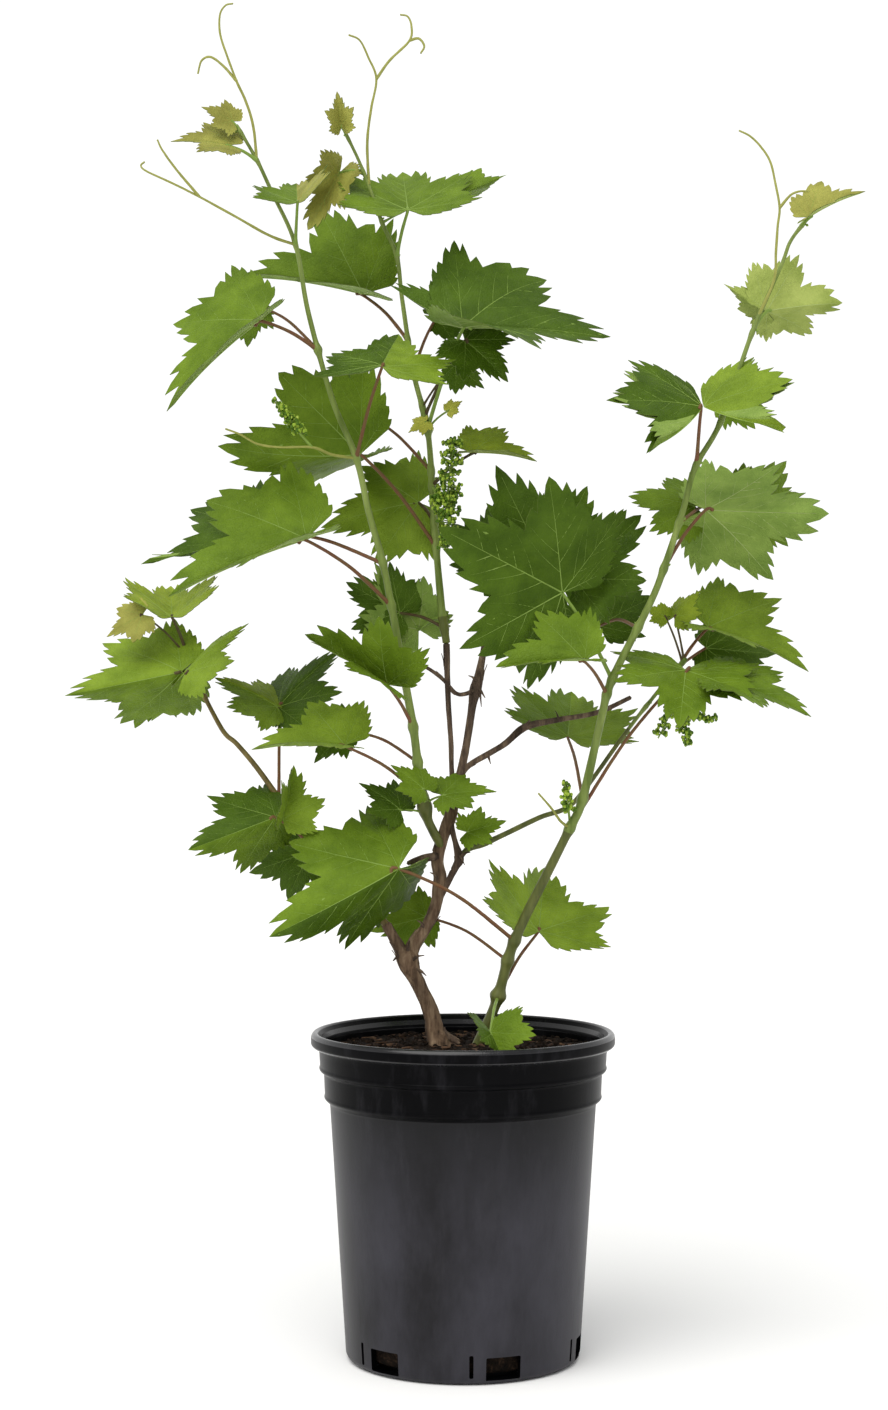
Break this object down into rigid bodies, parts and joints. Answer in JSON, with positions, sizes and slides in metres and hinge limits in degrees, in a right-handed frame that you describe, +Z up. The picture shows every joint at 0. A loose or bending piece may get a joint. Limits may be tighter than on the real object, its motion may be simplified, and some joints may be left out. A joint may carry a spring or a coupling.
{
  "type": "potted grapevine",
  "caption": "Young leafy grapevine with a short woody trunk, old dry arms and long green canes, standing in a round ribbed plastic nursery pot of soil.",
  "frame": {"origin": "centre of the pot's flat underside", "axes": "+Z up along the pot's axis, -Y towards the side that the plant is seen from, +X to that viewer's right"},
  "size_m": [0.4372, 0.2037, 0.7313],
  "materials": {
    "pot_plastic": "satin charcoal moulded plastic with a glossier rim",
    "soil": "dark crumbly potting soil",
    "bark": "rough brown fibrous vine bark",
    "green_cane": "smooth green young cane",
    "foliage": "soft satin leaves, darker above and paler below"
  },
  "bodies": {
    "root": {"pot": "pot_plastic", "soil": "soil", "trunk": "bark", "trunk_stub": "bark", "old_arm": "bark", "old_strand": "bark", "old_stem_right": "bark", "old_stem_left": "bark", "old_spur": "bark", "dry_twig": "bark", "dry_lateral": "bark", "cane_left": "green_cane", "cane_low_left": "green_cane", "cane_right_foot": "green_cane", "cane_right": "green_cane", "cane_side": "green_cane", "leaves_left_low": "foliage", "leaves_left_mid": "foliage", "leaves_left_high": "foliage", "leaves_left_upper": "foliage", "leaves_left_tip": "foliage", "leaves_middle_low": "foliage", "leaves_middle": "foliage", "leaves_middle_high": "foliage", "leaves_middle_tip": "foliage", "leaves_low_left": "foliage", "leaves_low_left_mid": "foliage", "leaves_low_left_tip": "foliage", "leaves_right_foot": "foliage", "leaves_right_low": "foliage", "leaves_right_mid": "foliage", "leaves_right_high": "foliage", "leaves_right_upper": "foliage", "leaves_right_tip": "foliage", "leaves_inner": "foliage", "leaves_side": "foliage"}
  },
  "joints": []
}
